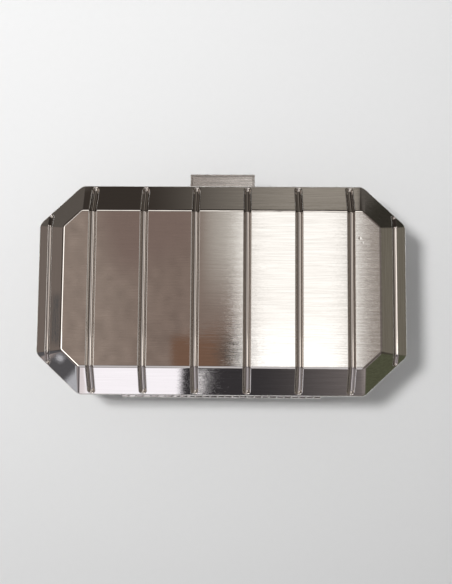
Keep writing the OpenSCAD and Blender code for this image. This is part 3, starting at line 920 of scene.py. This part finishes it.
def makeLining(name, node, body, halfRoom, roomY, roomZ):
    rim = seam + lining["drop"] * mm
    tray = octagonBlock(name, rim - lining["spare"] * mm, face - lining["floorIn"] * mm,
                        lining["wallIn"] * mm)
    trimBevels(lining["floorIn"] * mm)
    mergeMesh(2 * hair, 1)
    closeMesh()
    soften(tray, lining["soft"] * mm, segments=4, angle=20)
    cutter = newBlock("cutter", (-halfRoom, roomY, seam - lining["past"] * mm),
                      (halfRoom, halfHeight, roomZ))
    addModifier(tray, "BOOLEAN", operation="DIFFERENCE", object=cutter, solver="EXACT")
    bpy.data.objects.remove(cutter)
    openMesh(tray)
    trim((0, 0, rim), (0, 0, -1), fill=False)
    choose("edges", lambda part: (
        not part.is_boundary and part.calc_face_angle(0) > radians(60)))
    bpy.ops.mesh.bevel(offset=lining["roomSoft"] * mm, segments=3, affect="EDGES")
    mergeMesh(4 * hair)
    bpy.ops.mesh.dissolve_degenerate(threshold=hair)
    closeMesh()
    if body == "case":
        mirrorAtSeam(tray)
    thicken(tray, lining["cloth"] * mm, lining["edgeSoft"], 3)
    give(tray, "cloth", body, node)
    return tray


bracketLow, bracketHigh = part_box("clasp_bracket")
keeperLow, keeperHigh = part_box("keeper")
standOff = lining["room"] * mm
makeLining("backLining", "back_lining", "case", bracketHigh.x + standOff,
           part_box("guide_stems")[0].y - lining["stemRoom"] * mm,
           2 * seam - bracketLow.z + standOff)
frontTray = makeLining("frontLining", "front_lining", "lid",
                       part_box("thumb_bar")[1].x + lining["barRoom"] * mm,
                       keeperLow.y - standOff, keeperHigh.z + standOff)
print("linings made")


# Slip pocket on the front half's lining: a flat piece sewn down on three sides

pocket = {
    "cut": 6.0,            # its two lower corners
    "cloth": 0.42,
    "belly": 0.55,         # how far the open side stands off the lining,
    "bellyRise": 1.5,      # and how late that begins
    "steps": (48, 24),     # along X and along Y
    "edgeSoft": 0.35,      # share of the cloth's thickness
    "hem": 5.5,
    "hemIn": 0.02,
    "hemProud": 0.16,
    "hemSunk": 0.2,        # how deep the hem lies in the cloth, as a share of its thickness
    "seamIn": 2.2,
    "hemSeam": 1.2,        # the hem's seam: from the hem's lower side, and from the side seams
    "hemSeamIn": 3.0,
    "stitch": 2.0,
    "stitchStep": 3.1,
    "thread": 0.32,
    "threadSoft": 0.3,     # shares of the thread's thickness: its rounding,
    "threadProud": 0.2,    # and how far its middle stands off the cloth
    "threadSides": 8,
}
pocketLow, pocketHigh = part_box("slip_pocket")
pocketHalf = (pocketHigh.x - pocketLow.x) / 2
pocketCut = pocket["cut"] * mm
hemLow = pocketHigh.y - pocket["hem"] * mm


# The belly is deepest at the middle of the open side, away from the three seams
def bellyAt(x, y):
    across = 1 - (x / pocketHalf) ** 2
    up = min(max((y - pocketLow.y) / (pocketHigh.y - pocketLow.y), 0), 1)
    return pocket["belly"] * mm * max(across, 0) * up ** pocket["bellyRise"]


def makePocketSheet(name, lowY, highY, proud, thickness):
    letGo()
    bpy.ops.mesh.primitive_grid_add(x_subdivisions=pocket["steps"][0],
                                    y_subdivisions=pocket["steps"][1], size=2)
    sheet = bpy.context.object
    sheet.name = name
    sheet.scale = (pocketHalf, (highY - lowY) / 2, 1)
    sheet.location = (0, (highY + lowY) / 2, pocketHigh.z - proud)
    settle()
    openMesh(sheet)
    for side in (-1, 1):
        trim((side * (pocketHalf - pocketCut), pocketLow.y, 0), (side, -1, 0), fill=False)
    closeMesh()
    for vertex in sheet.data.vertices:
        vertex.co.z -= bellyAt(vertex.co.x, vertex.co.y)
    thicken(sheet, thickness, thickness / mm * pocket["edgeSoft"], 2)
    return sheet


def makeStitches():
    half, cut = pocketHalf, pocketCut
    inset = pocket["seamIn"] * mm
    hemY = hemLow + pocket["hemSeam"] * mm
    hemX = half - inset - pocket["hemSeamIn"] * mm
    sides = [(-half + inset, hemY), (-half + inset, pocketLow.y + cut),
             (-half + cut, pocketLow.y + inset), (half - cut, pocketLow.y + inset),
             (half - inset, pocketLow.y + cut), (half - inset, hemY)]
    rows = [(start, end, 0.0) for start, end in zip(sides, sides[1:])]
    rows.append(((-hemX, hemY), (hemX, hemY), pocket["hemProud"] * mm))
    letGo()
    bpy.ops.mesh.primitive_cylinder_add(
        vertices=pocket["threadSides"], radius=pocket["thread"] * mm / 2,
        depth=pocket["stitch"] * mm, rotation=(0, pi / 2, 0))
    master = bpy.context.object
    settle()
    soften(master, pocket["thread"] * mm * pocket["threadSoft"], segments=2, angle=50)
    copies = []
    proud = (pocket["cloth"] + pocket["thread"] * pocket["threadProud"]) * mm
    for start, end, more in rows:
        run = Vector((end[0] - start[0], end[1] - start[1], 0))
        count = max(1, round(run.length / (pocket["stitchStep"] * mm)))
        for i in range(count):
            at = Vector((*start, 0)) + run * (i + 0.5) / count
            depth = proud + bellyAt(at.x, at.y) + more
            twin = copyOf(master, "stitch")
            moveMesh(twin, (at.x, at.y, pocketHigh.z - depth), -atan2(run.y, run.x))
            copies.append(twin)
    master.name = "pocketStitches"
    moveMesh(master, (0, pocketLow.y + inset, pocketHigh.z - proud))
    joinInto(master, copies)
    shade(master, angle=60)
    return master


def makePocket():
    cloth = pocket["cloth"] * mm
    sunk = cloth * pocket["hemSunk"]
    piece = makePocketSheet("slipPocket", pocketLow.y, pocketHigh.y, 0.0, cloth)
    give(piece, "cloth", "lid", "slip_pocket")
    hem = makePocketSheet("pocketHem", hemLow, pocketHigh.y - pocket["hemIn"] * mm, cloth - sunk,
                          pocket["hemProud"] * mm + sunk)
    give(hem, "hemCloth", "lid")
    stitches = makeStitches()
    give(stitches, "thread", "lid")


makePocket()
print("pocket made")


# Boards stay as the frame has them, behind the linings
for node in ("back_board", "front_board"):
    wear(bpy.data.objects[node], finish["board"])
print("boards finished")


# Studio: pale floor and room, a soft lamp, and a dark room with cards that only the metal sees

room = {
    # Painted light falloff: the floor's colour is darker on the near side and lighter on the far
    # side
    "floorNearShade": (0.655, 0.655, 0.655),
    "floorFarLit": (0.875, 0.875, 0.875),
    "floorShift": 0.2,     # how far out the floor's painted light falloff runs each way
    "floorHalf": 3.0,
    "floorLow": 0.00005,   # under the back shell's rest
    "floorRough": 0.8,
    "specks": (260.0, 3.0),     # scale and detail
    "speckDark": 0.02,
    "paleFrom": (0.22, 0.55),   # between these distances the floor goes over into the background
    "background": 0.90,
    "fill": 0.385,
    "lampPlace": (-0.33, 0.112, 0.85),
    "lampSize": 0.165,
    "lampPower": 5.8,
}


def card(at, half, colour, turn=(0, 0, 0), soft=0, **more):
    return {"at": at, "half": half, "colour": colour, "turn": turn, "soft": soft, **more}


# Each card: middle, half size along and up, colour, turn in degrees, the widths of its soft edges
# (left, right, low, high), the colour that it shades into (next) with where along it that happens
# (ramp), and clouds: the least share of its colour, and their scale
alongX, alongY, fallingCut, risingCut = (90, 0, 0), (90, 0, 90), (90, 0, -45), (90, 0, 45)
cards = {
    "ceiling": card((0, 0, 0.95), (0.95, 0.95), (0.13, 0.108, 0.098)),
    "nearWall": card(
        (0, -0.95, 0.475), (0.95, 0.48), (0.05, 0.047, 0.052), turn=alongX, next=(0.28, 0.25, 0.25),
        ramp=(0.02, 0.36)),
    "farWall": card((0, 0.95, 0.475), (0.95, 0.48), (0.05, 0.043, 0.038), turn=alongX),
    "farGrey": card(
        (-0.03, 0.93, 0.3), (0.28, 0.13), (0.055, 0.046, 0.04), turn=alongX, next=(0.4, 0.37, 0.33),
        ramp=(-0.14, 0.18), soft=(0.03, 0.04, 0.03, 0.03)),
    "leftWall": card((-0.95, 0, 0.475), (0.95, 0.48), (0.07, 0.058, 0.052), turn=alongY),
    "rightWall": card((0.95, 0, 0.475), (0.95, 0.48), (0.07, 0.06, 0.05), turn=alongY),
    "leftCeiling": card(
        (-0.17, 0.08, 0.93), (0.2, 0.22), (0.45, 0.365, 0.32), next=(0.35, 0.27, 0.235),
        ramp=(-0.08, 0.07), soft=(0.08, 0.01, 0.08, 0.08), clouds=(0.66, 12.0)),
    "rightCeiling": card(
        (0.25, 0.08, 0.93), (0.09, 0.22), (0.43, 0.385, 0.355), soft=(0.01, 0.05, 0.08, 0.08)),
    "duskCloud": card(
        (-0.145, 0.19, 0.925), (0.115, 0.1), (0.32, 0.238, 0.212), turn=(0, 0, 20), soft=0.07,
        clouds=(0.7, 22.0)),
    "glow": card(
        (-0.025, 0.16, 0.91), (0.045, 0.15), (0.47, 0.43, 0.39), next=(0.72, 0.69, 0.65),
        ramp=(-0.035, 0.035), soft=(0.035, 0.0, 0.16, 0.05)),
    "nearStrip": card(
        (-0.15, -0.52, 0.9), (0.5, 0.33), (0.75, 0.73, 0.76), soft=(0.1, 0.1, 0.05, 0.1)),
    "brownBlock": card(
        (-0.055, -0.05, 0.895), (0.046, 0.052), (0.24, 0.142, 0.1), turn=(0, 0, 3), soft=0.004),
    "duskPatch": card((0.002, -0.03, 0.893), (0.024, 0.03), (0.1, 0.1, 0.095), soft=0.008),
    "window": card(
        (0.1103, 0.08, 0.9), (0.1023, 0.25), (1.52, 1.51, 1.49), soft=(0.015, 0.02, 0.06, 0.06)),
    "windowLow": card(
        (0.1065, -0.075, 0.899), (0.0985, 0.105), (1.8, 1.8, 1.8), soft=(0.018, 0.05, 0.05, 0.05)),
    "leftStrip": card(
        (-0.6, 0.05, 0.9), (0.2, 0.45), (2.1, 2.0, 1.92), soft=(0.06, 0.06, 0.1, 0.1)),
    "farStrip": card(
        (-0.05, 0.62, 0.9), (0.6, 0.16), (1.5, 1.44, 1.38), soft=(0.1, 0.1, 0.06, 0.06)),
    "nearLight": card(
        (-0.284, -0.9, 0.5), (0.192, 0.24), (1.05, 0.98, 1.03), turn=alongX, next=(1.42, 1.4, 1.52),
        ramp=(0.002, 0.032), soft=(0.08, 0.004, 0.05, 0.05)),
    "nearSliver": card(
        (-0.062, -0.9, 0.485), (0.0055, 0.06), (1.6, 1.58, 1.66), turn=(90, 4, 0), soft=0.0015),
    "nearCorner": card(
        (-0.8, -0.72, 0.37), (0.34, 0.37), (0.36, 0.325, 0.335), turn=fallingCut, soft=0.06),
    "nearLow": card(
        (-0.3, -0.91, 0.13), (0.24, 0.15), (0.4, 0.365, 0.38), turn=alongX,
        soft=(0.05, 0.05, 0.02, 0.04)),
    "leftLow": card(
        (-0.905, -0.35, 0.14), (0.22, 0.14), (0.36, 0.325, 0.325), turn=alongY, soft=0.03),
    "nearLowRight": card(
        (0.36, -0.91, 0.13), (0.2, 0.15), (0.4, 0.35, 0.36), turn=alongX,
        soft=(0.05, 0.05, 0.02, 0.04)),
    "nearRightCorner": card(
        (0.8, -0.72, 0.37), (0.34, 0.37), (0.36, 0.32, 0.325), turn=risingCut, soft=0.06),
    "rightHigh": card((0.62, 0.08, 0.935), (0.32, 0.5), (0.22, 0.19, 0.18), soft=0.05),
    "rightWallHigh": card(
        (0.92, 0.08, 0.66), (0.45, 0.24), (0.2, 0.185, 0.16), turn=alongY, soft=0.05),
    "lowGlint": card(
        (-0.45, -0.27, 0.895), (0.14, 0.28), (2.8, 2.7, 2.6), soft=(0.03, 0.03, 0.05, 0.02)),
    "leftGrey": card(
        (-0.9, 0.08, 0.27), (0.42, 0.19), (0.225, 0.188, 0.17), turn=alongY, soft=0.06),
    "leftDusk": card(
        (-0.893, 0.024, 0.295), (0.05, 0.01), (0.11, 0.11, 0.115), turn=alongY,
        soft=(0.02, 0.02, 0.006, 0.006)),
    "rightGrey": card(
        (0.9, 0.08, 0.3), (0.42, 0.19), (0.205, 0.188, 0.155), turn=alongY, soft=0.06),
    "cornerFarRight": card(
        (0.2, 0.2, 0.055), (0.13, 0.055), (0.13, 0.12, 0.11), turn=fallingCut,
        next=(0.046, 0.043, 0.035), ramp=(0.004, 0.02), soft=0.012),
    "cornerFarLeft": card(
        (-0.2, 0.19, 0.055), (0.13, 0.055), (0.14, 0.125, 0.113), turn=risingCut, soft=0.012),
    "cornerNearRight": card(
        (0.21, -0.17, 0.055), (0.13, 0.055), (0.106, 0.113, 0.072), turn=risingCut, soft=0.012),
    "cornerNearLeft": card(
        (-0.21, -0.17, 0.055), (0.13, 0.055), (0.125, 0.123, 0.135), turn=fallingCut,
        next=(0.6, 0.62, 0.68), ramp=(-0.0165, -0.0105), soft=0.012),
    "cornerSpot": card(
        (-0.228, -0.147, 0.073), (0.0045, 0.004), (0.72, 0.73, 0.8), turn=fallingCut, soft=0.0035),
    "cornerPink": card(
        (-0.235, -0.141, 0.055), (0.0065, 0.05), (0.38, 0.33, 0.33), turn=fallingCut, soft=0.004),
}
cloudy = {"detail": 4.0, "between": (0.3, 0.7)}
view = {"place": (0.00909, -0.03481, 0.42064), "turn": (4.974, 0.951, 0.442), "lens": 46.233,
        "clip": 0.01}


def blendShaders(tree, output, share, first, second):
    both = addNode(tree, "MixShader")
    for socket, source in zip(both.inputs, (share, first.outputs[0], second.outputs[0])):
        feed(tree, socket, source)
    feed(tree, output.inputs[0], both.outputs[0])


def makeCard(name, facts):
    letGo()
    bpy.ops.mesh.primitive_plane_add(size=2, location=facts["at"],
                                     rotation=[radians(a) for a in facts["turn"]])
    plane = bpy.context.object
    plane.name = name
    plane.scale = (*facts["half"], 1)
    made = bpy.data.materials.new(name)
    made.use_nodes = True
    tree = made.node_tree
    tree.nodes.clear()
    place = addNode(tree, "TexCoord").outputs["Object"]
    parts = splitAxes(tree, place)
    glow = addNode(tree, "Emission")
    colour = facts["colour"]
    if "next" in facts:
        start, stop = (at / facts["half"][0] for at in facts["ramp"])
        share = remap(tree, parts[0], start, stop, smooth=True)
        colour = blendColour(tree, share, colour, facts["next"])
    if "clouds" in facts:
        least, scale = facts["clouds"]
        drift = noiseAt(tree, place, scale, cloudy["detail"])
        cloud = remap(tree, drift, *cloudy["between"], least, 1.0, smooth=True)
        colour = blendColour(tree, 1.0, colour, cloud, "MULTIPLY")
    feed(tree, glow.inputs["Color"], colour)
    soft = facts["soft"]
    widths = soft if isinstance(soft, tuple) else (soft,) * 4
    seen = 1.0
    for edge, width in enumerate(widths):
        if width:
            half = facts["half"][edge // 2]
            side = doMath(tree, "MULTIPLY", parts[edge // 2], 1.0 if edge % 2 else -1.0)
            seen = doMath(tree, "MULTIPLY", seen,
                          remap(tree, side, 1 - width / half, 1.0, 1.0, 0.0, smooth=True))
    clear = addNode(tree, "BsdfTransparent")
    blendShaders(tree, addNode(tree, "OutputMaterial"), seen, clear, glow)
    wear(plane, made)
    for ray in ("camera", "diffuse", "shadow", "transmission", "volume_scatter"):
        setattr(plane, "visible_" + ray, False)


def makeRoom():
    letGo()
    bpy.ops.mesh.primitive_plane_add(size=2 * room["floorHalf"], location=(0, 0, -room["floorLow"]))
    floor = bpy.context.object
    floor.name = "floor"
    made, tree, shader, where = startMaterial("paleFloor")
    place = where["Object"]
    # Painted light falloff across the floor, from darker near to lighter far
    shift = remap(tree, splitAxes(tree, place)[1], -room["floorShift"], room["floorShift"])
    pale = blendColour(tree, shift, room["floorNearShade"], room["floorFarLit"])
    speck = doMath(tree, "MULTIPLY", noiseAt(tree, place, *room["specks"]), room["speckDark"])
    feedAll(tree, shader, {
        "Base Color": blendColour(tree, speck, pale, (0, 0, 0)),
        "Roughness": room["floorRough"], "Specular IOR Level": 0.0})
    away = addNode(tree, "VectorMath", operation="LENGTH")
    feed(tree, away.inputs[0], place)
    fade = remap(tree, away.outputs["Value"], *room["paleFrom"], smooth=True)
    backdrop = addNode(tree, "Emission")
    backdrop.inputs["Strength"].default_value = room["background"]
    rays = addNode(tree, "LightPath").outputs
    blendShaders(tree, tree.nodes["Material Output"],
                 doMath(tree, "MULTIPLY", fade, rays["Is Camera Ray"]), shader, backdrop)
    wear(floor, made)
    for name, facts in cards.items():
        makeCard(name, facts)
    world = bpy.data.worlds.new("paleRoom")
    world.use_nodes = True
    bpy.context.scene.world = world
    tree = world.node_tree
    rays = addNode(tree, "LightPath").outputs
    direct = doMath(tree, "MAXIMUM", rays["Is Camera Ray"], rays["Is Glossy Ray"])
    direct = doMath(tree, "MAXIMUM", direct, rays["Is Transmission Ray"])
    strength = remap(tree, direct, 0.0, 1.0, room["fill"], room["background"])
    feedAll(tree, tree.nodes["Background"], {"Color": (1, 1, 1), "Strength": strength})


def makeLamp():
    letGo()
    bpy.ops.object.light_add(type="AREA", location=room["lampPlace"])
    lamp = bpy.context.object
    lamp.name = "softLamp"
    lamp.data.size = room["lampSize"]
    lamp.data.energy = room["lampPower"]
    lamp.rotation_mode = "QUATERNION"
    lamp.rotation_quaternion = Vector(room["lampPlace"]).to_track_quat("Z", "Y")
    lamp.visible_glossy = False


def makeCamera():
    letGo()
    bpy.ops.object.camera_add(location=view["place"], rotation=[radians(a) for a in view["turn"]])
    camera = bpy.context.object
    camera.data.lens = view["lens"]
    camera.data.clip_start = view["clip"]
    bpy.context.scene.camera = camera


makeRoom()
makeLamp()
makeCamera()
bpy.context.scene.view_settings.view_transform = "Standard"
print("studio ready")

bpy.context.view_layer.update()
letGo()
